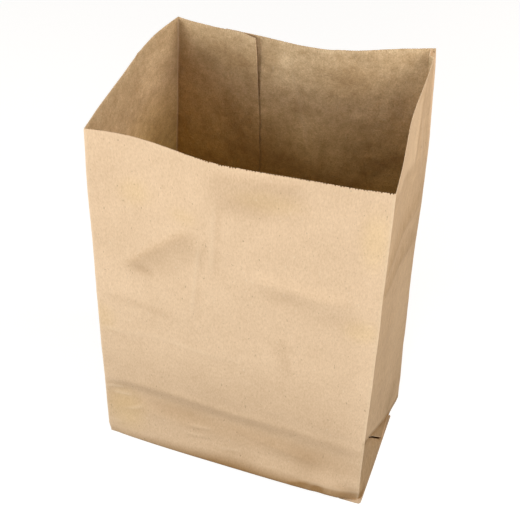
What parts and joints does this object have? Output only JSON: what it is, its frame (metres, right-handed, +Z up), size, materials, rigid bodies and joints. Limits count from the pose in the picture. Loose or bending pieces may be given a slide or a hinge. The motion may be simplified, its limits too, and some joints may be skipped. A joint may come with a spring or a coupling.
{
  "type": "paper lunch bag",
  "caption": "Open flat-bottomed brown paper bag with gusseted sides, a lapped back seam and a folded bottom, standing upright and slightly flared at the top.",
  "frame": {"origin": "centre of the bag's outline on the surface it stands on", "axes": "+Z up through the open mouth, -Y out of the smooth front panel, +Y out of the back panel with the lap seam, +X out of the right gusset"},
  "size_m": [0.138, 0.0992, 0.2202],
  "materials": {
    "kraft_paper": "matt unbleached brown kraft paper, uncoated"
  },
  "bodies": {
    "root": {"paper_bag": "kraft_paper"}
  },
  "joints": []
}
